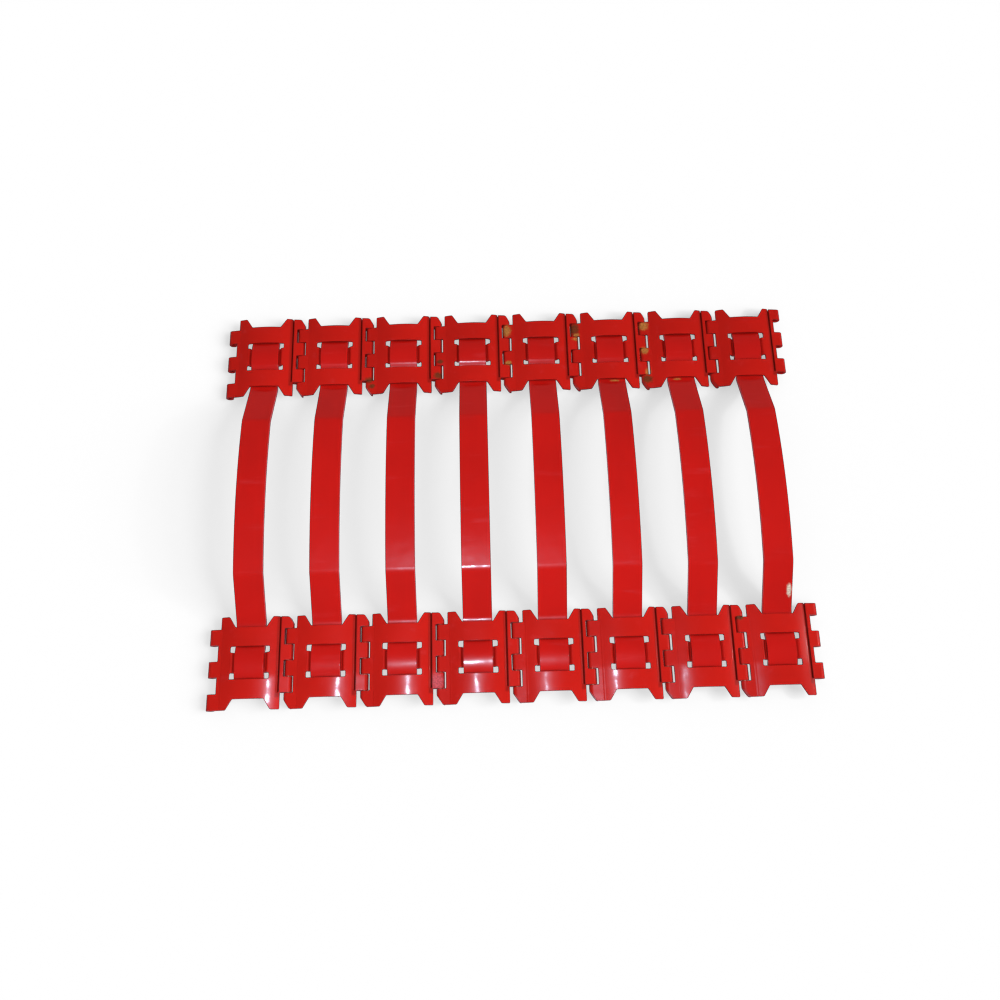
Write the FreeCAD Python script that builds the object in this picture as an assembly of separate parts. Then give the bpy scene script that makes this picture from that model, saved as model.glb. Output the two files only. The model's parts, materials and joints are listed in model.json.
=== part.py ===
"""Hinged bow-spring casing centralizer, laid out flat as it is before it is wrapped round the pipe.

Two rows of bent sheet-steel collar plates, hinged side to side with plain pins, and one flat-section bow
spring across each pair of plates.  Each spring is woven through its plates: under both bridges and over the
pressed-in strap between two slots, so nothing is welded.

Frame: X runs along the rows, Y runs along the pipe, Z is up, away from the pipe.  The origin is at the
centre of the laid-out rows, on the surface that the knuckles lie on.
"""
import FreeCAD
import Part
import math
import os

# ---------------------------------------------------------------- driving sizes (mm and degrees)
segments = 8                 # plates in each ring, with one bow spring each
casing_diameter = 244.5      # outside of the pipe that the closed ring goes round
casing_play = 2.3            # radial play between the pipe and the closed rings
bow_diameter = 341.0         # over the bows of the closed ring
collar_spacing = 437.0       # centre to centre of the two rings, along the pipe

plate_height = 120.0         # along the pipe, from ear tip to ear tip
sheet = 2.4                  # collar sheet thickness
end_knuckle = 15.6           # length of the knuckle at the top end of the hinge
knuckle_pairs = 3            # knuckles that each plate gives to one hinge
knuckle_gap = 0.8            # between neighbouring knuckles, along the pin
pin_diameter = 5.0
pin_play = 0.2               # radial play of the pin in its knuckles
wrap_end_angle = 108.0       # how far a left knuckle curls past its lowest point

crease_offset = 13.6         # hinge axis to the crease on the left of the arch
joggle_offset = 15.2         # hinge axis to the step on the right of the arch
joggle_angle = 85.0          # steepness of that step
under_angle = 20.0           # fall of the sheet from the foot of the step to the knuckle
flange_edge = 11.0           # hinge axis to the free edge of the rolled-back flange
flange_tilt = 6.0            # rise of that flange towards its free edge
bend_radius = 2.2            # centreline radius of the step's two bends
crease_bend = 1.0            # half length of the crease

left_relief = 7.4            # hinge axis to the sheet between left knuckles
right_relief = 6.3           # hinge axis to the sheet between right knuckles
left_ear_edge = 10.1         # hinge axis to the side of the top left ear
right_ear_edge = 9.9         # hinge axis to the side of the bottom right ear
top_crimp = 5.8              # how far the hammered end of the top knuckle is driven in
top_slant = 10.0             # length of that hammered end, along the pipe
bottom_crimp = 8.6           # how far the hammered end of the bottom knuckle is driven in
bottom_slant = 13.0          # length of that hammered end, along the pipe
crimp_round = 4.0            # corners of the hammered ends
crimp_wall = 0.9             # sheet left over the pin where a crimp begins to trap it
pin_end_play = 0.3           # between the pin's ends and the crimped knuckles
pin_chamfer = 0.5

notch_depth = 13.8           # trapezoid cut-outs above and below each spring
notch_side_play = 1.5        # notch floor beyond each side of the spring
notch_run = 8.5              # sideways run of the notch's sloping sides
notch_corner = 2.2           # corners of the notches
corner_radius = 1.2          # other corners of the blank
tip_clearance = 1.0          # the blank's cutting outline beyond the rolled knuckles
crimp_clearance = 0.3        # the same where a crimp starts
slot_offset = 17.2           # plate centre to the middle of a slot, along the pipe
slot_width = 8.5
slot_corner = 2.0
strap_side_play = 2.0        # strap's flat beyond each side of the spring
strap_ramp = 3.5             # sideways run of the strap's sloping ends
strap_bend = 1.0             # half length of the strap's bends
slot_end = 1.5               # top of the strap's slope to the end of the slots

bow_width = 38.0
bow_thickness = 4.5
bow_under_play = 1.3         # pipe to the underside of the spring's seated ends
bow_seat_gap = 0.3           # strap to spring
bow_bridge_gap = 0.1         # spring's top corners to the underside of the arch
bow_end_setback = 2.2        # spring's end to the edge of the outer bridge
hump_radius = 50.0           # centreline radius of the hump that carries the spring over the strap
hump_margin = 0.2            # foot of the hump to the edge of the bridge
root_bend = 4.0              # half length of the bend where the spring leaves the collar
root_play = 0.5              # inner bridge's edge to that bend
ramp_angle = 28.5            # rise of the spring from the collar to its shoulder
shoulder = 107.0             # middle of the spring to its shoulder
shoulder_bend = 3.0          # half length of the bend at the shoulder

# ---------------------------------------------------------------- levels and positions that follow
pin_bore = pin_diameter / 2 + pin_play
knuckle_radius = pin_bore + sheet
loop_radius = pin_bore + sheet / 2
hinge_angle = 360.0 / segments
half_angle = math.radians(hinge_angle / 2)
casing_radius = casing_diameter / 2
hinge_circle = casing_radius + casing_play + knuckle_radius
pitch = 2 * hinge_circle * math.sin(half_angle)
hinge_x = pitch / 2
hinge_z = knuckle_radius
ring_z = hinge_z - hinge_circle * math.cos(half_angle)

seat_z = ring_z + casing_radius + bow_under_play
bow_low_z = seat_z + bow_thickness / 2
strap_z = seat_z + sheet / 2
bow_top_corner = math.hypot(bow_width / 2, seat_z + bow_thickness - ring_z)
arch_radius = bow_top_corner + bow_bridge_gap + sheet / 2

collar_y = collar_spacing / 2
half_height = plate_height / 2
knuckle_count = 2 * knuckle_pairs
long_knuckle = (plate_height - end_knuckle) / (knuckle_count - 1)
knuckle_ends = [half_height] + [half_height - end_knuckle - long_knuckle * k for k in range(knuckle_count)]
ear_step = knuckle_ends[-2] + knuckle_gap / 2
left_ear_step = knuckle_ends[1] - knuckle_gap / 2
notch_floor = half_height - notch_depth
notch_half = bow_width / 2 + notch_side_play
slot_outer = slot_offset + slot_width / 2
slot_inner = slot_offset - slot_width / 2
strap_flat = bow_width / 2 + strap_side_play
slot_half = strap_flat + strap_ramp + slot_end

top_slope = (top_crimp + crimp_clearance) / top_slant
bottom_slope = (bottom_crimp + crimp_clearance) / bottom_slant
crimp_bite = crimp_clearance + sheet - crimp_wall
pin_top = half_height - top_slant + crimp_bite / top_slope
pin_bottom = bottom_slant - half_height - crimp_bite / bottom_slope

bow_end = collar_y + notch_floor - bow_end_setback
bow_root = collar_y - notch_floor - root_play - root_bend
hump_foot = slot_outer - hump_margin
hump_under = hump_radius - bow_thickness / 2
hump_drop = hump_under - math.sqrt(hump_under**2 - slot_inner**2)
hump_rise = sheet + bow_seat_gap + hump_drop
hump_slope = 2 * math.degrees(math.atan(hump_rise / hump_foot))
hump_top_z = bow_low_z + hump_rise + bow_thickness / 2
shoulder_z = bow_low_z + (bow_root - shoulder) * math.tan(math.radians(ramp_angle))
crown_z = ring_z + bow_diameter / 2 - bow_thickness / 2
crown_slope = 2 * math.degrees(math.atan((crown_z - shoulder_z) / (shoulder + shoulder_bend)))


# ---------------------------------------------------------------- bent strips and rounded outlines
def polar(point, angle, distance):
    """The point at a distance from another, in the direction of an angle in degrees."""
    turn = math.radians(angle)
    return (point[0] + distance * math.cos(turn), point[1] + distance * math.sin(turn))


def heading(start, end):
    """Direction from one point to another, in degrees."""
    return math.degrees(math.atan2(end[1] - start[1], end[0] - start[0]))


def bent_line(corners, radii):
    """Straight runs joined by tangent arcs.

    Gives a list of runs.  A run is a list of (point, left normal's angle), two for a line, three for an arc.
    """
    runs = []
    place = corners[0]
    for before, corner, after, radius in zip(corners, corners[1:], corners[2:], radii):
        way_in = heading(before, corner)
        way_out = heading(corner, after)
        turn = (way_out - way_in + 180.0) % 360.0 - 180.0
        side = math.copysign(1.0, turn)
        trim = radius * math.tan(math.radians(abs(turn) / 2))
        start = polar(corner, way_in, -trim)
        end = polar(corner, way_out, trim)
        centre = polar(start, way_in + 90.0, side * radius)
        middle = polar(centre, way_in + turn / 2 + 90.0, -side * radius)
        add_line(runs, place, start)
        if radius > 0:
            runs.append([(start, way_in + 90.0), (middle, way_in + turn / 2 + 90.0), (end, way_out + 90.0)])
        place = end
    add_line(runs, place, corners[-1])
    return runs


def add_line(runs, start, end):
    """Append a straight run, unless two bends meet there and leave no length for one."""
    if math.dist(start, end) > 1e-6:
        normal = heading(start, end) + 90.0
        runs.append([(start, normal), (end, normal)])


def run_edges(runs, offset, place):
    """Edges along the runs, moved sideways by an offset; place turns a flat point into a vector."""
    edges = []
    for run in runs:
        points = [place(*polar(point, normal, offset)) for point, normal in run]
        if len(points) == 2:
            edges.append(Part.LineSegment(*points).toShape())
        else:
            edges.append(Part.Arc(*points).toShape())
    return edges


def strip(corners, radii, thickness, place, depth):
    """A bent sheet of even thickness about its centreline, extruded by the depth vector."""
    runs = bent_line(corners, radii)
    left = run_edges(runs, thickness / 2, place)
    right = run_edges(runs, -thickness / 2, place)
    caps = []
    for run, end in ((runs[0], 0), (runs[-1], -1)):
        point, normal = run[end]
        sides = [place(*polar(point, normal, offset)) for offset in (thickness / 2, -thickness / 2)]
        caps.append(Part.LineSegment(*sides).toShape())
    wire = Part.Wire(Part.sortEdges(left + right + caps)[0])
    return Part.Face(wire).extrude(depth)


def in_xz(y):
    """Places flat points in the X-Z plane at a given y."""
    return lambda u, v: FreeCAD.Vector(u, y, v)


def in_yz(x):
    """Places flat points in the Y-Z plane at a given x."""
    return lambda u, v: FreeCAD.Vector(x, u, v)


def prism(corners, radii, low, high):
    """An upright block with a closed outline in X and Y, and rounded corners."""
    first = corners[0]
    last = corners[-1]
    middle = ((first[0] + last[0]) / 2, (first[1] + last[1]) / 2)
    runs = bent_line([middle] + corners + [middle], radii)
    edges = run_edges(runs, 0.0, lambda u, v: FreeCAD.Vector(u, v, low))
    wire = Part.Wire(Part.sortEdges(edges)[0])
    return Part.Face(wire).extrude(FreeCAD.Vector(0, 0, high - low))


def rod(x, z, radius, y_from, y_to):
    """A cylinder along Y."""
    base = FreeCAD.Vector(x, y_from, z)
    return Part.makeCylinder(radius, y_to - y_from, base, FreeCAD.Vector(0, 1, 0))


# ---------------------------------------------------------------- collar plate
def arch_point(angle):
    """Point on the arch's centreline, by its angle from the top, positive to the right."""
    return polar((0.0, ring_z), 90.0 - angle, arch_radius)


def arch_corner(angle_from, angle_to):
    """Where the arch's tangents at two angles meet."""
    reach = arch_radius / math.cos(math.radians((angle_to - angle_from) / 2))
    return polar((0.0, ring_z), 90.0 - (angle_from + angle_to) / 2, reach)


def arch_angle(x):
    """Angle from the top at which the arch's centreline passes an x."""
    return math.degrees(math.asin(x / arch_radius))


def bend_radius_for(half_length, turn):
    """Radius of a bend from its half length and the angle that it turns."""
    return half_length / math.tan(math.radians(abs(turn) / 2))


def crossing(point, way, other, other_way):
    """Where two lines meet, each given by a point and a direction."""
    across = (other[0] - point[0], other[1] - point[1])
    other_turn = math.radians(other_way)
    turn = math.radians(other_way - way)
    reach = (across[0] * math.sin(other_turn) - across[1] * math.cos(other_turn)) / math.sin(turn)
    return polar(point, way, reach)


def loop_corners(axis, way_in, way_out):
    """Two corners that carry a centreline round a knuckle, between two directions."""
    middle = (way_in + way_out) / 2
    outward = -90.0 if way_out > way_in else 90.0
    reach = loop_radius / math.cos(math.radians((middle - way_in) / 2))
    first = polar(axis, (way_in + middle) / 2 + outward, reach)
    second = polar(axis, (middle + way_out) / 2 + outward, reach)
    return [first, second]


def left_knuckle():
    """Where the arch starts, and the corners and radii from under the left knuckle to the crease there."""
    axis = (-hinge_x, hinge_z)
    crease = arch_angle(crease_offset - hinge_x)
    bend = polar(arch_point(crease), -crease, -crease_bend)
    over = heading(axis, bend) - math.degrees(math.asin(loop_radius / math.dist(axis, bend)))
    start_way = wrap_end_angle - 180.0
    start = polar(axis, start_way + 90.0, loop_radius)
    corners = [start] + loop_corners(axis, start_way, over - 360.0) + [bend]
    radii = [loop_radius, loop_radius, bend_radius_for(crease_bend, -crease - over)]
    return crease, corners, radii


def left_ear():
    """The same at the top left ear, where the arch simply runs on past the ear's edge."""
    beyond = arch_angle(left_ear_edge - tip_clearance - hinge_x)
    return beyond, [arch_point(beyond)], []


def joggled_profile(left_end):
    """The sheet steps down beside the arch, runs under the pin and rolls back over it as a flange."""
    start, corners, radii = left_end
    axis = (hinge_x, hinge_z)
    step = arch_angle(hinge_x - joggle_offset)
    bend = polar(arch_point(step), -step, bend_radius * math.tan(math.radians((joggle_angle - step) / 2)))
    under = polar(axis, -under_angle - 90.0, loop_radius)
    foot = crossing(bend, -joggle_angle, under, -under_angle)
    flange_way = 180.0 - flange_tilt
    flange_start = polar(axis, flange_way - 90.0, loop_radius)
    flange_run = (flange_edge + flange_start[0] - hinge_x) / math.cos(math.radians(flange_tilt))
    corners += [arch_corner(start, step), bend, foot]
    radii += [arch_radius, bend_radius, bend_radius]
    corners += loop_corners(axis, -under_angle, flange_way)
    radii += [loop_radius, loop_radius]
    corners += [polar(flange_start, flange_way, flange_run)]
    return corners, radii


def plain_profile(left_end):
    """The sheet of the bottom right ear: the arch simply runs on past the ear's edge."""
    start, corners, radii = left_end
    beyond = arch_angle(hinge_x - right_ear_edge + tip_clearance)
    corners += [arch_corner(start, beyond), arch_point(beyond)]
    radii += [arch_radius]
    return corners, radii


def strap_profile():
    """The strap between the slots, pressed in flat to pass under the spring."""
    far = arch_angle(slot_half + tip_clearance)
    near = arch_angle(strap_flat + strap_ramp)
    bend = polar(arch_point(-near), near, strap_bend)
    floor = (-strap_flat, strap_z)
    ramp = heading(bend, floor)
    half = [arch_point(-far), arch_corner(-far, -near), bend, floor]
    top_radius = bend_radius_for(strap_bend, near - ramp)
    floor_radius = bend_radius_for(strap_bend, ramp)
    corners = half + [(-x, z) for x, z in reversed(half)]
    radii = [arch_radius, top_radius, floor_radius, floor_radius, top_radius, arch_radius]
    return corners, radii


def side_outline(ends, relief, ear, crimp):
    """Blank's outline down one side: knuckles and reliefs by turns, then the plain ear; with corner radii."""
    tip = hinge_x + knuckle_radius
    rows = [((tip + tip_clearance, half_height), corner_radius)]
    if crimp:
        width, slant = crimp
        rows = [((tip - width, half_height), crimp_round)]
        rows += [((tip + crimp_clearance, half_height - slant), crimp_round)]
    for k in range(0, knuckle_count, 2):
        low = ends[k + 1] + knuckle_gap / 2
        reach = tip + (crimp_clearance if crimp and k == 0 else tip_clearance)
        inner = ear if k == knuckle_count - 2 else relief
        if k > 0:
            high = ends[k] - knuckle_gap / 2
            rows += [((relief, high), corner_radius), ((tip + tip_clearance, high), 0.0)]
        rows += [((reach, low), 0.0), ((inner, low), corner_radius)]
    rows += [((ear, -half_height), corner_radius)]
    return rows


def blank(left_crimp, right_crimp):
    """Block with the flat outline of a plate: ears, trapezoid notches, knuckles and reliefs."""
    xs = [-notch_half - notch_run, -notch_half, notch_half, notch_half + notch_run]
    ys = [half_height, notch_floor, notch_floor, half_height]
    notch = [((x, y), notch_corner) for x, y in zip(xs, ys)]
    right = side_outline(knuckle_ends, hinge_x - right_relief, hinge_x - right_ear_edge, right_crimp)
    turned_ends = [-y for y in reversed(knuckle_ends)]
    left = side_outline(turned_ends, hinge_x - left_relief, hinge_x - left_ear_edge, left_crimp)
    half_turn = [((-x, -y), radius) for (x, y), radius in notch + left]
    rows = notch + right + half_turn
    height = 4 * knuckle_radius
    return prism([corner for corner, radius in rows], [radius for corner, radius in rows], -height, height)


def slot(y):
    """Cutting block for one punched slot."""
    low = y - slot_width / 2
    high = y + slot_width / 2
    corners = [(-slot_half, low), (slot_half, low), (slot_half, high), (-slot_half, high)]
    return prism(corners, [slot_corner] * len(corners), 0.0, 2 * hump_top_z)


def extruded(profile, y_from, y_to):
    """A sheet profile run along the pipe between two stations."""
    corners, radii = profile
    return strip(corners, radii, sheet, in_xz(y_from), FreeCAD.Vector(0, y_to - y_from, 0))


def collar(left_crimp, right_crimp):
    """One collar plate, centred on its own X and Y."""
    body = extruded(plain_profile(left_knuckle()), -half_height, ear_step)
    body = body.fuse(extruded(joggled_profile(left_knuckle()), ear_step, left_ear_step))
    body = body.fuse(extruded(joggled_profile(left_ear()), left_ear_step, half_height))
    if right_crimp:
        body = body.fuse(rod(hinge_x, hinge_z, loop_radius, knuckle_ends[1], half_height))
    if left_crimp:
        body = body.fuse(rod(-hinge_x, hinge_z, loop_radius, -half_height, knuckle_ends[-2]))
    body = body.common(blank(left_crimp, right_crimp))
    if right_crimp:
        body = body.cut(rod(hinge_x, hinge_z, pin_bore, knuckle_ends[2], pin_top + pin_end_play))
    if left_crimp:
        body = body.cut(rod(-hinge_x, hinge_z, pin_bore, pin_bottom - pin_end_play, knuckle_ends[-3]))
    corner = FreeCAD.Vector(-slot_half, -slot_inner, 0)
    band = Part.makeBox(2 * slot_half, 2 * slot_inner, 2 * hump_top_z, corner)
    strap = extruded(strap_profile(), -slot_inner, slot_inner).common(band)
    body = body.cut(band).cut(slot(slot_offset)).cut(slot(-slot_offset))
    return body.fuse(strap).removeSplitter()


# ---------------------------------------------------------------- spring and pins
def bow_spring():
    """One flat-section spring, centred on its own X."""
    foot_radius = hump_foot / math.sin(math.radians(hump_slope)) - hump_radius
    foot_bend = foot_radius * math.tan(math.radians(hump_slope / 2))
    hump_reach = hump_foot - foot_bend
    hump_corner_z = bow_low_z + hump_reach * math.tan(math.radians(hump_slope))
    crown_corner_z = shoulder_z + shoulder * math.tan(math.radians(crown_slope))
    side = shoulder / math.cos(math.radians(crown_slope)) - shoulder_bend
    half = [
        (bow_end, bow_low_z),
        (collar_y + hump_reach, bow_low_z),
        (collar_y, hump_corner_z),
        (collar_y - hump_reach, bow_low_z),
        (bow_root, bow_low_z),
        (shoulder, shoulder_z),
    ]
    half_radii = [foot_radius, hump_radius, foot_radius]
    half_radii += [bend_radius_for(root_bend, ramp_angle)]
    half_radii += [bend_radius_for(shoulder_bend, ramp_angle - crown_slope)]
    crown_radius = bend_radius_for(side, 2 * crown_slope)
    corners = [(-y, z) for y, z in half] + [(0.0, crown_corner_z)] + list(reversed(half))
    radii = half_radii + [crown_radius] + list(reversed(half_radii))
    return strip(corners, radii, bow_thickness, in_yz(-bow_width / 2), FreeCAD.Vector(bow_width, 0, 0))


def hinge_pin():
    """One plain pin with chamfered ends, on its own axis."""
    pin = rod(0.0, hinge_z, pin_diameter / 2, pin_bottom, pin_top)
    rims = [edge for edge in pin.Edges if edge.isClosed()]
    return pin.makeChamfer(pin_chamfer, rims)


# ---------------------------------------------------------------- the laid-out rows
def moved(shape, x, y):
    """A copy of a shape, moved level."""
    return shape.translated(FreeCAD.Vector(x, y, 0))


def assemble():
    """Every piece in its place, by name."""
    pieces = {}
    rows = {"upper": collar_y, "lower": -collar_y}
    pin = hinge_pin()
    bow = bow_spring()
    for number in range(1, segments + 1):
        plate_x = (number - (segments + 1) / 2) * pitch
        left_crimp = (bottom_crimp, bottom_slant) if number > 1 else None
        right_crimp = (top_crimp, top_slant) if number < segments else None
        plate = collar(left_crimp, right_crimp)
        pieces[f"bow_spring_{number}"] = moved(bow, plate_x, 0.0)
        for row, y in rows.items():
            pieces[f"{row}_collar_{number}"] = moved(plate, plate_x, y)
            if number < segments:
                pieces[f"{row}_pin_{number}"] = moved(pin, plate_x + hinge_x, y)
    return pieces


os.makedirs("parts", exist_ok=True)
for name, shape in assemble().items():
    shape.exportStep(f"parts/{name}.step")
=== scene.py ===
"""Looks of the hinged bow-spring casing centralizer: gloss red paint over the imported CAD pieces."""
import bpy
import json
import math
from collections import namedtuple
from mathutils import Matrix, Vector

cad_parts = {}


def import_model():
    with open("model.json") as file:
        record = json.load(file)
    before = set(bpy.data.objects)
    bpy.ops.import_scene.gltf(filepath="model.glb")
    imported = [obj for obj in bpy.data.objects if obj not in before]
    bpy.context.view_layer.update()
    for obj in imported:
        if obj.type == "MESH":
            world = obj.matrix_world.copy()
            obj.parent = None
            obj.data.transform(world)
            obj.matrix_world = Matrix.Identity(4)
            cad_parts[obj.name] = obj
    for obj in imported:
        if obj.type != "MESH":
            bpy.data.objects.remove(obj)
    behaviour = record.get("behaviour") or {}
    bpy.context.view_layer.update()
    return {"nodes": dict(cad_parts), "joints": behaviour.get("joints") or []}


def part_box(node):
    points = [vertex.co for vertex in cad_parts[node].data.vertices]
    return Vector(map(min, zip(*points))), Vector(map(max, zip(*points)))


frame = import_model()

# ---------------------------------------------------------------- camera and floor (metres, degrees)
CAMERA_PLACE = (-0.0307, -0.3865, 1.244)
CAMERA_AZIMUTH = 2.26        # it looks along the pipe, turned this far to the right
CAMERA_DIP = 72.77           # and this far down from level
CAMERA_ROLL = 0.79
CAMERA_LENS = 33.79          # millimetres
CAMERA_SENSOR = 36.0         # millimetres
CAMERA_FAR = 20.0            # nothing further away is drawn

FLOOR_HALF = 4.0
FLOOR_GAP = 0.0004           # floor below the part's lowest point
FLOOR_ROUGHNESS = 0.9
FLOOR_PALE = (0.85, 0.85, 0.85)
FLOOR_BOUNCE = (0.30, 0.27, 0.22)      # what the floor throws back up at the part

# ---------------------------------------------------------------- light (watts, but W/m2 for the softbox)
WORLD_LEVEL = 0.20           # how bright the surroundings are as a lamp
FLASH_PLACE = (-0.115, -0.405, 1.26)
FLASH_AIM = (-0.05, -0.15, 0.0)
FLASH_SIZE = (0.06, 0.03)
FLASH_COLOUR = (0.55, 0.80, 1.0)
FLASH_POWER = 14.9
FLASH_SHINE = 1.55           # power of its copy that only reflections show, as a share of its own
GLINT_PLACE = (1.17, -0.10, 0.62)
GLINT_AIM = (0.38, -0.22, 0.0)
GLINT_SIZE = (0.06, 0.06)
GLINT_POWER = 1.2
GLINT_SHINE = 6.0
SOFTBOX_LEAN = 60.0          # from straight above, towards its azimuth
SOFTBOX_AZIMUTH = 100.0      # clockwise from above: 0 is beyond the upper row, 90 is the right side
SOFTBOX_SPREAD = 38.0        # how wide it looks from the part
SOFTBOX_POWER = 1.42
WHITE = (1.0, 1.0, 1.0)

# ---------------------------------------------------------------- colours
# dark red for grime and painted shade, laid where metal is close and along the plates' steps
GRIME_AND_SHADE = (0.035, 0.006, 0.004)
# pink of rubbed paint in the smudges; in one collar mark it is a painted sheen
PINK_WEAR_AND_SHEEN = (0.70, 0.095, 0.105)
PRIMER_OCHRE = (0.64, 0.22, 0.045)
RUST_BROWN = (0.17, 0.045, 0.012)
# a pale cream patch, laid near the lower end of spring 8
PALE_CREAM = (0.95, 0.70, 0.50)
PIN_STEEL = (0.20, 0.13, 0.08)

# ---------------------------------------------------------------- paint
# A noise is its cycles per metre, its detail and its roughness. A range is where its use starts and is full.
Finish = namedtuple("Finish", "red specular coat coat_roughness smudge_stretch")
PLATE_FINISH = Finish(red=(0.615, 0.0112, 0.0062), specular=0.025, coat=0.020, coat_roughness=0.10,
                      smudge_stretch=(1.0, 1.0, 1.0))
SPRING_FINISH = Finish(red=(0.615, 0.0062, 0.0036), specular=0.05, coat=0.082, coat_roughness=0.14,
                       smudge_stretch=(0.2, 1.3, 1.0))
PAINT_ROUGHNESS = 0.28
WORN_ROUGHNESS = 0.65
DRIFT_NOISE = (9.0, 4.0, 0.5)          # slow drift between two tones
DRIFT_RANGE = (0.3, 0.7)
DRIFT_TONES = (0.92, 1.04)
SMUDGE_NOISE = (70.0, 5.0, 0.6)
SMUDGE_RANGE = (0.56, 0.80)
SMUDGE_SHARE = 0.14
EDGE_ROUND = 0.0012                    # paint draws off the sheared edges over this width
EDGE_SAMPLES = 4
PEEL_NOISE = (420.0, 2.0, 0.5)         # orange peel
PEEL_HEIGHT = 0.0004
PEEL_SHARE = 0.03
SWELL_NOISE = (45.0, 1.0, 0.5)         # slow unevenness of the pressed sheet
SWELL_HEIGHT = 0.001
SWELL_SHARE = 0.36

RAGGED_NOISE = (330.0, 4.0, 0.6)       # the edge of a mark
RAGGED_DEPTH = 1.4                     # how far that edge wanders, in half sizes of the mark
MARK_EDGE = (1.25, 0.5)                # from its centre, in half sizes, where a mark ends and is full
MARK_SHARE = 0.88                      # a little of the paint shows through a mark
BLOTCH_NOISE = (480.0, 2.0, 0.5)       # two tones inside a mark
BLOTCH_RANGE = (0.38, 0.62)
BLOTCH_DARK = 0.62

PIN_NOISE = (260.0, 5.0, 0.65)         # spots of rust on the pins
PIN_RANGE = (0.42, 0.6)
PIN_METAL = 0.6
PIN_ROUGHNESS = 0.5

# ---------------------------------------------------------------- grime and painted shade (bands are four distances, see band)
CREVICE = 0.010              # grime and painted shade gather where metal is this close
CREVICE_SAMPLES = 6
CREVICE_OPEN = 0.78          # share of the surroundings that a point sees where grime and painted shade start
CREVICE_DEEP = 0.25          # and where it is thickest
CREVICE_SHARE = 0.75
STRAP_BAND = (0.0185, 0.0200, 0.0270, 0.0300)      # beside the strap, across from the plate's middle
STRAP_LESS_DARKENING = 0.65           # less grime and painted shade there by this share
STEP_BAND = (0.0328, 0.0358, 0.0385, 0.0405)       # the plate's step, right of its middle, whose lit bend gets painted shade
STEP_FOOT = (-0.0465, -0.0435)                     # along the pipe, where the step's painted shade ends and is full
STEP_SHARE = 0.45

# ---------------------------------------------------------------- forms that are only bump
DROOP_START = -0.017         # plate's middle to where its lower bridge starts to droop
DROOP_BLEND = 0.006
DROOP_SLOPE = 0.109          # fall of the drooping bridge where it starts
DROOP_SPREAD = (1.12, 0.9)   # from plate to plate it lies between these shares of that
DROOP_EASE = 3.45            # how it flattens towards its free edge, per metre
EAR_START = 0.031            # plate's middle, across, to where its ears begin
EAR_BLEND = 0.005
EAR_SHARE = 0.55             # the ears droop by this share of the bridge
CREASE = 0.137               # from a plate's left hinge to its left crease, as a share of the pitch
RIDGE_WIDTH = 0.0016         # paint drawn up along that crease
RIDGE_HEIGHT = 0.00022
DIP_START = -0.0135          # upper plate's middle to where a spring dips under the bridge
DIP_LENGTH = 0.008
DIP_DEPTH = 0.0012


# ---------------------------------------------------------------- places read from the frame
def middle(name):
    """Centre of a node's box at rest."""
    low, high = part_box(name)
    return (Vector(low) + Vector(high)) / 2


HINGE_COUNT = len(frame["joints"])
HINGES = {row: [middle(f"{row}_pin_{k + 1}").x for k in range(HINGE_COUNT)] for row in ("upper", "lower")}
PITCH = HINGES["upper"][1] - HINGES["upper"][0]
ROW = middle("upper_collar_4").y


# ---------------------------------------------------------------- colour and node helpers
def shade(colour, share):
    """A colour made darker or lighter."""
    return tuple(channel * share for channel in colour)


def new_material(name):
    """A material with a Principled shader; gives the material, its tree and the shader."""
    material = bpy.data.materials.new(name)
    material.use_nodes = True
    tree = material.node_tree
    return material, tree, tree.nodes["Principled BSDF"]


def add_node(tree, kind, **settings):
    """A node with its properties set."""
    node = tree.nodes.new(kind)
    for key, value in settings.items():
        setattr(node, key, value)
    return node


def parts_of(tree, place):
    """A place's X, Y and Z, as the outputs of one node."""
    axes = add_node(tree, "ShaderNodeSeparateXYZ")
    tree.links.new(place, axes.inputs["Vector"])
    return axes.outputs


def noise(tree, place, scale, detail, roughness):
    """A noise texture in metres of the object."""
    node = add_node(tree, "ShaderNodeTexNoise")
    node.inputs["Scale"].default_value = scale
    node.inputs["Detail"].default_value = detail
    node.inputs["Roughness"].default_value = roughness
    tree.links.new(place, node.inputs["Vector"])
    return node.outputs["Fac"]


def math_node(tree, operation, *values):
    """Arithmetic on sockets or numbers."""
    node = add_node(tree, "ShaderNodeMath", operation=operation)
    for socket, value in zip(node.inputs, values):
        if isinstance(value, float):
            socket.default_value = value
        else:
            tree.links.new(value, socket)
    return node.outputs["Value"]


def vector_node(tree, operation, vector, numbers):
    """Arithmetic on a vector socket and three numbers."""
    node = add_node(tree, "ShaderNodeVectorMath", operation=operation)
    tree.links.new(vector, node.inputs[0])
    node.inputs[1].default_value = numbers
    return node.outputs["Vector"]


def map_range(tree, value, low, high):
    """A value from 0 to 1 mapped to the range from low to high."""
    node = add_node(tree, "ShaderNodeMapRange")
    node.inputs["To Min"].default_value = low
    node.inputs["To Max"].default_value = high
    tree.links.new(value, node.inputs["Value"])
    return node.outputs["Result"]


def ramp(tree, value, low, high):
    """Rises smoothly from 0 at low to 1 at high, where high may be the lower number."""
    node = add_node(tree, "ShaderNodeMapRange", interpolation_type="SMOOTHSTEP")
    node.inputs["From Min"].default_value = low
    node.inputs["From Max"].default_value = high
    tree.links.new(value, node.inputs["Value"])
    return node.outputs["Result"]


def band(tree, value, edges):
    """1 between the two inner edges, and falling smoothly to 0 at the two outer ones."""
    low, inner_low, inner_high, high = edges
    return math_node(tree, "MULTIPLY", ramp(tree, value, low, inner_low), ramp(tree, value, high, inner_high))


def mix_colour(tree, factor, first, second):
    """Mix of two colours, each a socket or a plain colour."""
    node = add_node(tree, "ShaderNodeMix", data_type="RGBA")
    tree.links.new(factor, node.inputs["Factor"])
    for socket, colour in ((node.inputs[6], first), (node.inputs[7], second)):
        if isinstance(colour, tuple):
            socket.default_value = (*colour, 1.0)
        else:
            tree.links.new(colour, socket)
    return node.outputs[2]


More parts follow.
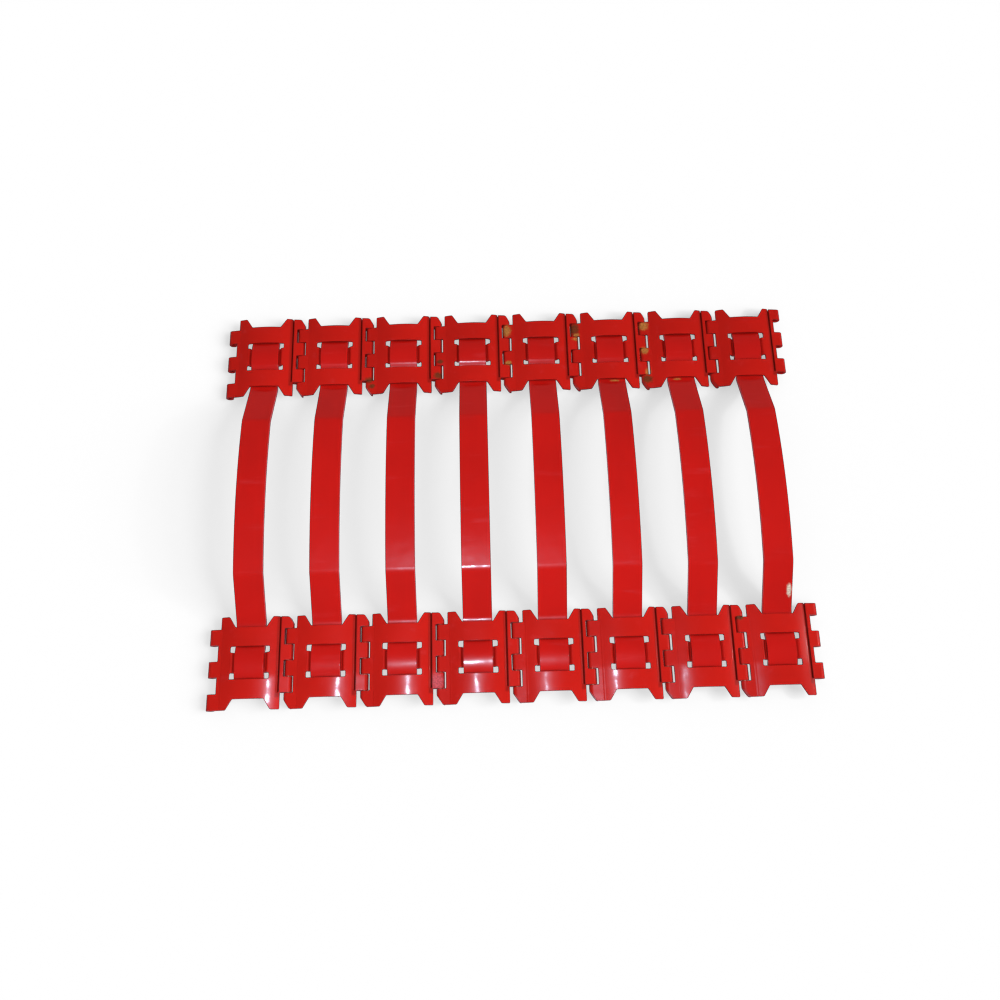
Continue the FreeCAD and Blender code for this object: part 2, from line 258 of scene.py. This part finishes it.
def bump(tree, height, distance, strength, normal):
    """A bump over a normal."""
    node = add_node(tree, "ShaderNodeBump")
    if isinstance(strength, float):
        node.inputs["Strength"].default_value = strength
    else:
        tree.links.new(strength, node.inputs["Strength"])
    node.inputs["Distance"].default_value = distance
    tree.links.new(height, node.inputs["Height"])
    tree.links.new(normal, node.inputs["Normal"])
    return node.outputs["Normal"]


# ---------------------------------------------------------------- marks in the paint
def hinge_mark(row, hinge, right, up, wide, high, colour):
    """A mark beside a hinge: its centre from the hinge and the row's middle, and its half sizes."""
    y = ROW if row == "upper" else -ROW
    return (HINGES[row][hinge - 1] + right, y + up), (wide, high), colour


def bow_mark(bow, right, up, wide, high, colour):
    """A mark on a spring: its centre from the spring's middle, and its half sizes."""
    return (middle(f"bow_spring_{bow}").x + right, up), (wide, high), colour


COLLAR_MARKS = [
    hinge_mark("upper", 4, 0.0010, 0.0350, 0.0065, 0.0095, PRIMER_OCHRE),
    hinge_mark("upper", 4, 0.0020, -0.0165, 0.0050, 0.0035, PRIMER_OCHRE),
    hinge_mark("upper", 5, 0.0005, 0.0350, 0.0070, 0.0100, RUST_BROWN),
    hinge_mark("upper", 5, 0.0030, 0.0255, 0.0045, 0.0030, PRIMER_OCHRE),
    hinge_mark("upper", 5, 0.0015, 0.0195, 0.0050, 0.0030, PRIMER_OCHRE),
    hinge_mark("upper", 6, 0.0025, 0.0375, 0.0075, 0.0070, PRIMER_OCHRE),
    hinge_mark("upper", 6, 0.0010, -0.0010, 0.0060, 0.0060, PRIMER_OCHRE),
    hinge_mark("upper", 6, 0.0040, -0.0340, 0.0045, 0.0055, PRIMER_OCHRE),
    hinge_mark("upper", 6, 0.0030, -0.0465, 0.0075, 0.0065, RUST_BROWN),
    hinge_mark("upper", 3, 0.0000, -0.0330, 0.0070, 0.0050, RUST_BROWN),
    hinge_mark("upper", 3, 0.0030, -0.0120, 0.0045, 0.0035, RUST_BROWN),
    hinge_mark("upper", 2, 0.0010, -0.0380, 0.0070, 0.0050, RUST_BROWN),
    hinge_mark("upper", 2, 0.0040, -0.0480, 0.0050, 0.0040, RUST_BROWN),
    hinge_mark("lower", 7, 0.0000, 0.0430, 0.0050, 0.0035, RUST_BROWN),
    # painted sheen on the flange beside the lower row's third hinge
    hinge_mark("lower", 3, -0.0040, -0.0300, 0.0090, 0.0110, PINK_WEAR_AND_SHEEN),
]
SPRING_MARKS = [
    bow_mark(6, 0.0040, 0.1695, 0.0070, 0.0016, PRIMER_OCHRE),
    bow_mark(7, -0.0060, 0.1695, 0.0060, 0.0016, PRIMER_OCHRE),
    # a pale cream patch near spring 8's lower right edge
    bow_mark(8, 0.0150, -0.1430, 0.0035, 0.0080, PALE_CREAM),
]


def mark_cover(tree, place, centre, sizes, ragged):
    """1 inside an oval with a ragged edge, 0 outside."""
    from_centre = vector_node(tree, "SUBTRACT", place, (*centre, 0.0))
    scaled = vector_node(tree, "MULTIPLY", from_centre, (1.0 / sizes[0], 1.0 / sizes[1], 0.0))
    length = add_node(tree, "ShaderNodeVectorMath", operation="LENGTH")
    tree.links.new(scaled, length.inputs[0])
    return ramp(tree, math_node(tree, "ADD", length.outputs["Value"], ragged), *MARK_EDGE)


def with_marks(tree, place, colour, marks):
    """A colour with its marks laid over, and how far the marks cover it."""
    ragged = math_node(tree, "MULTIPLY", noise(tree, place, *RAGGED_NOISE), RAGGED_DEPTH)
    ragged = math_node(tree, "SUBTRACT", ragged, RAGGED_DEPTH / 2)
    blotch = ramp(tree, noise(tree, place, *BLOTCH_NOISE), *BLOTCH_RANGE)
    covered = 0.0
    for centre, sizes, tone in marks:
        cover = math_node(tree, "MULTIPLY", mark_cover(tree, place, centre, sizes, ragged), MARK_SHARE)
        uneven = mix_colour(tree, blotch, shade(tone, BLOTCH_DARK), tone)
        colour = mix_colour(tree, cover, colour, uneven)
        covered = math_node(tree, "MAXIMUM", covered, cover)
    return colour, covered


# ---------------------------------------------------------------- grime, painted shade and form, by place on a plate
def plate_place(tree, place):
    """Signed distances from the middle of the nearest plate: across it, and along the pipe."""
    axes = parts_of(tree, place)
    cell = math_node(tree, "FRACT", math_node(tree, "DIVIDE", axes["X"], PITCH))
    across = math_node(tree, "MULTIPLY", math_node(tree, "SUBTRACT", cell, 0.5), PITCH)
    row = math_node(tree, "MULTIPLY", math_node(tree, "SIGN", axes["Y"]), ROW)
    return across, math_node(tree, "SUBTRACT", axes["Y"], row)


def crevice_grime_and_shade(tree, place, colour, pressed):
    """A colour darkened by grime and painted shade in corners, and by painted shade along a plate's step, but
    little beside the straps.
    """
    near = add_node(tree, "ShaderNodeAmbientOcclusion", samples=CREVICE_SAMPLES)
    near.inputs["Distance"].default_value = CREVICE
    deep = ramp(tree, near.outputs["AO"], CREVICE_OPEN, CREVICE_DEEP)
    across, along = plate_place(tree, place)
    beside = band(tree, math_node(tree, "ABSOLUTE", across), STRAP_BAND)
    share = math_node(tree, "SUBTRACT", CREVICE_SHARE, math_node(tree, "MULTIPLY", beside, STRAP_LESS_DARKENING))
    # grime and painted shade where the metal is close
    grime_and_shade = math_node(tree, "MULTIPLY", deep, share)
    if pressed:
        # painted shade on the lit bend of the plate's step
        step = math_node(tree, "MULTIPLY", band(tree, across, STEP_BAND), ramp(tree, along, *STEP_FOOT))
        grime_and_shade = math_node(tree, "MAXIMUM", grime_and_shade, math_node(tree, "MULTIPLY", step, STEP_SHARE))
    return mix_colour(tree, grime_and_shade, colour, GRIME_AND_SHADE)


def plate_slope(tree, place):
    """How steeply a plate's lower bridge starts to fall, which differs a little from plate to plate."""
    plate = math_node(tree, "FLOOR", math_node(tree, "DIVIDE", parts_of(tree, place)["X"], PITCH))
    chance = add_node(tree, "ShaderNodeTexWhiteNoise", noise_dimensions="1D")
    tree.links.new(plate, chance.inputs["W"])
    return map_range(tree, chance.outputs["Value"], *(-share * DROOP_SLOPE for share in DROOP_SPREAD))


def droop(tree, place):
    """A plate's pressed form: its lower bridge falls towards the free edge, and its left crease stands up.

    Gives the height, and how much of it shows."""
    across, along = plate_place(tree, place)
    way = math_node(tree, "SMOOTH_MAX", math_node(tree, "SUBTRACT", DROOP_START, along), 0.0, DROOP_BLEND)
    easing = math_node(tree, "MULTIPLY", math_node(tree, "MULTIPLY", way, way), DROOP_EASE)
    fall = math_node(tree, "MULTIPLY", math_node(tree, "SUBTRACT", way, easing), plate_slope(tree, place))
    from_crease = math_node(tree, "ABSOLUTE", math_node(tree, "SUBTRACT", across, (CREASE - 0.5) * PITCH))
    ridge = math_node(tree, "MULTIPLY", ramp(tree, from_crease, RIDGE_WIDTH, 0.0), RIDGE_HEIGHT)
    ear = ramp(tree, math_node(tree, "ABSOLUTE", across), EAR_START, EAR_START + EAR_BLEND)
    share = math_node(tree, "SUBTRACT", 1.0, math_node(tree, "MULTIPLY", ear, 1.0 - EAR_SHARE))
    return math_node(tree, "ADD", fall, ridge), share


def dip(tree, place):
    """A spring's dip under the upper plate's lower bridge. Gives the height, and how much of it shows."""
    start = ROW + DIP_START
    down = ramp(tree, parts_of(tree, place)["Y"], start, start - DIP_LENGTH)
    return math_node(tree, "MULTIPLY", down, -DIP_DEPTH), 1.0


# ---------------------------------------------------------------- materials
def paint_colour(tree, place, finish):
    """The paint's red, drifting between two tones, with pink smudges."""
    dark, light = (shade(finish.red, tone) for tone in DRIFT_TONES)
    colour = mix_colour(tree, ramp(tree, noise(tree, place, *DRIFT_NOISE), *DRIFT_RANGE), dark, light)
    stretched = vector_node(tree, "MULTIPLY", place, finish.smudge_stretch)
    smudge = ramp(tree, noise(tree, stretched, *SMUDGE_NOISE), *SMUDGE_RANGE)
    return mix_colour(tree, math_node(tree, "MULTIPLY", smudge, SMUDGE_SHARE), colour, PINK_WEAR_AND_SHEEN)


def paint_normal(tree, place, pressed):
    """The paint's surface: rounded edges, orange peel, swell, and the form of the metal below."""
    rounded = add_node(tree, "ShaderNodeBevel", samples=EDGE_SAMPLES)
    rounded.inputs["Radius"].default_value = EDGE_ROUND
    peel = noise(tree, place, *PEEL_NOISE)
    normal = bump(tree, peel, PEEL_HEIGHT, PEEL_SHARE, rounded.outputs["Normal"])
    normal = bump(tree, noise(tree, place, *SWELL_NOISE), SWELL_HEIGHT, SWELL_SHARE, normal)
    form, share = droop(tree, place) if pressed else dip(tree, place)
    return bump(tree, form, 1.0, share, normal)


def paint(name, finish, marks, pressed):
    """Gloss red paint, for pressed plates or for springs, with its wear, grime, painted shade and a painted
    sheen.
    """
    material, tree, shader = new_material(name)
    place = add_node(tree, "ShaderNodeTexCoord").outputs["Object"]
    colour, covered = with_marks(tree, place, paint_colour(tree, place, finish), marks)
    tree.links.new(crevice_grime_and_shade(tree, place, colour, pressed), shader.inputs["Base Color"])
    tree.links.new(map_range(tree, covered, PAINT_ROUGHNESS, WORN_ROUGHNESS), shader.inputs["Roughness"])
    shader.inputs["Specular IOR Level"].default_value = finish.specular
    shader.inputs["Coat Weight"].default_value = finish.coat
    shader.inputs["Coat Roughness"].default_value = finish.coat_roughness
    normal = paint_normal(tree, place, pressed)
    tree.links.new(normal, shader.inputs["Normal"])
    tree.links.new(normal, shader.inputs["Coat Normal"])
    return material


def rusty_steel():
    """Plain pin steel with a skin of rust."""
    material, tree, shader = new_material("pin_steel")
    place = add_node(tree, "ShaderNodeTexCoord").outputs["Object"]
    spots = ramp(tree, noise(tree, place, *PIN_NOISE), *PIN_RANGE)
    tree.links.new(mix_colour(tree, spots, PIN_STEEL, RUST_BROWN), shader.inputs["Base Color"])
    shader.inputs["Metallic"].default_value = PIN_METAL
    shader.inputs["Roughness"].default_value = PIN_ROUGHNESS
    return material


def dress():
    """Gives every CAD piece its material."""
    collar_paint = paint("collar_paint", PLATE_FINISH, COLLAR_MARKS, True)
    spring_paint = paint("spring_paint", SPRING_FINISH, SPRING_MARKS, False)
    steel = rusty_steel()
    for name, piece in frame["nodes"].items():
        material = collar_paint if "collar" in name else spring_paint if "bow" in name else steel
        piece.data.materials.clear()
        piece.data.materials.append(material)


# ---------------------------------------------------------------- stage
def camera():
    """Camera above and in front of the rows, looking steeply down."""
    turn = math.radians(CAMERA_AZIMUTH)
    down = math.radians(CAMERA_DIP)
    roll = math.radians(CAMERA_ROLL)
    ahead = Vector((math.sin(turn) * math.cos(down), math.cos(turn) * math.cos(down), -math.sin(down)))
    right = Vector((math.cos(turn), -math.sin(turn), 0.0))
    up = right.cross(ahead)
    across = right * math.cos(roll) + up * math.sin(roll)
    upward = up * math.cos(roll) - right * math.sin(roll)
    data = bpy.data.cameras.new("camera")
    data.lens = CAMERA_LENS
    data.sensor_width = CAMERA_SENSOR
    data.clip_end = CAMERA_FAR
    eye = bpy.data.objects.new("camera", data)
    turned = Matrix((across, upward, -ahead)).transposed().to_4x4()
    eye.matrix_world = Matrix.Translation(CAMERA_PLACE) @ turned
    bpy.context.scene.collection.objects.link(eye)
    bpy.context.scene.camera = eye


def lamp(name, place, target, size, power, colour=WHITE):
    """A rectangular area lamp aimed at a point, with its width level."""
    data = bpy.data.lights.new(name, "AREA")
    data.shape = "RECTANGLE"
    data.size, data.size_y = size
    data.energy = power
    data.color = colour
    light = bpy.data.objects.new(name, data)
    aim = Vector(target) - Vector(place)
    light.matrix_world = Matrix.Translation(place) @ aim.to_track_quat("-Z", "Y").to_matrix().to_4x4()
    bpy.context.scene.collection.objects.link(light)
    return light


def far_lamp(name, lean, azimuth, spread, power):
    """A large softbox far away, in degrees: its lean from straight above, its azimuth and its spread."""
    data = bpy.data.lights.new(name, "SUN")
    data.angle = math.radians(spread)
    data.energy = power
    light = bpy.data.objects.new(name, data)
    tilt = Matrix.Rotation(math.radians(lean), 4, "X")
    light.matrix_world = Matrix.Rotation(math.radians(180.0 - azimuth), 4, "Z") @ tilt
    bpy.context.scene.collection.objects.link(light)


def twin_lamp(light, name, share):
    """A copy of a lamp with this share of its power."""
    twin = light.copy()
    twin.data = light.data.copy()
    twin.name = twin.data.name = name
    twin.data.energy *= share
    bpy.context.scene.collection.objects.link(twin)
    return twin


def link_floor(light, ground, state):
    """Lets a lamp light the floor alone (INCLUDE), or everything but the floor (EXCLUDE)."""
    lit = bpy.data.collections.new(light.name + "_lit")
    lit.objects.link(ground)
    lit.collection_objects[0].light_linking.link_state = state
    light.light_linking.receiver_collection = lit


def lights(ground):
    """A flash beside the camera, a small lamp far right and a softbox low on the right.

    The floor has a flash of its own that casts no shadow, as the photo's ground shows none from the flash.
    The shine lamps are seen in reflections alone."""
    flash = lamp("flash", FLASH_PLACE, FLASH_AIM, FLASH_SIZE, FLASH_POWER, FLASH_COLOUR)
    floor_flash = twin_lamp(flash, "flash_floor", 1.0)
    floor_flash.data.use_shadow = False
    link_floor(floor_flash, ground, "INCLUDE")
    link_floor(flash, ground, "EXCLUDE")
    glint = lamp("glint", GLINT_PLACE, GLINT_AIM, GLINT_SIZE, GLINT_POWER)
    far_lamp("softbox", SOFTBOX_LEAN, SOFTBOX_AZIMUTH, SOFTBOX_SPREAD, SOFTBOX_POWER)
    for light, share in ((flash, FLASH_SHINE), (glint, GLINT_SHINE)):
        twin_lamp(light, light.name + "_shine", share).visible_diffuse = False


def under_part():
    """Geometry nodes that lower a floor to the part's lowest point, however its hinges are turned."""
    group = bpy.data.node_groups.new("under_part", "GeometryNodeTree")
    for way in ("INPUT", "OUTPUT"):
        group.interface.new_socket("Geometry", in_out=way, socket_type="NodeSocketGeometry")
    whole = add_node(group, "GeometryNodeJoinGeometry")
    for piece in frame["nodes"].values():
        one = add_node(group, "GeometryNodeObjectInfo", transform_space="RELATIVE")
        one.inputs["Object"].default_value = piece
        group.links.new(one.outputs["Geometry"], whole.inputs["Geometry"])
    box = add_node(group, "GeometryNodeBoundBox")
    group.links.new(whole.outputs["Geometry"], box.inputs["Geometry"])
    low = parts_of(group, box.outputs["Min"])["Z"]
    drop = add_node(group, "ShaderNodeCombineXYZ")
    group.links.new(math_node(group, "SUBTRACT", low, FLOOR_GAP), drop.inputs["Z"])
    move = add_node(group, "GeometryNodeTransform")
    group.links.new(add_node(group, "NodeGroupInput").outputs["Geometry"], move.inputs["Geometry"])
    group.links.new(drop.outputs["Vector"], move.inputs["Translation"])
    group.links.new(move.outputs["Geometry"], add_node(group, "NodeGroupOutput").inputs["Geometry"])
    return group


def floor():
    """Plain white floor that only takes the object's shadow."""
    mesh = bpy.data.meshes.new("floor")
    corners = [(x * FLOOR_HALF, y * FLOOR_HALF, 0.0) for x, y in ((-1, -1), (1, -1), (1, 1), (-1, 1))]
    mesh.from_pydata(corners, [], [(0, 1, 2, 3)])
    ground = bpy.data.objects.new("floor", mesh)
    ground.modifiers.new("under_part", "NODES").node_group = under_part()
    material, tree, shader = new_material("floor_white")
    shader.inputs["Roughness"].default_value = FLOOR_ROUGHNESS
    path = add_node(tree, "ShaderNodeLightPath")
    pale = mix_colour(tree, path.outputs["Is Diffuse Ray"], FLOOR_PALE, FLOOR_BOUNCE)
    tree.links.new(pale, shader.inputs["Base Color"])
    mesh.materials.append(material)
    bpy.context.scene.collection.objects.link(ground)
    ground.is_shadow_catcher = True
    ground.visible_shadow = False
    return ground


def world():
    """Even white surroundings, white to the camera and in reflections, and dim as a lamp."""
    place = bpy.data.worlds.new("studio")
    bpy.context.scene.world = place
    place.use_nodes = True
    tree = place.node_tree
    background = tree.nodes["Background"]
    path = add_node(tree, "ShaderNodeLightPath")
    seen = math_node(tree, "MAXIMUM", path.outputs["Is Camera Ray"], path.outputs["Is Glossy Ray"])
    seen = math_node(tree, "MAXIMUM", seen, path.outputs["Is Transmission Ray"])
    tree.links.new(map_range(tree, seen, WORLD_LEVEL, 1.0), background.inputs["Strength"])
    background.inputs["Color"].default_value = (*WHITE, 1.0)


dress()
camera()
world()
lights(floor())
bpy.context.scene.view_settings.view_transform = "Standard"
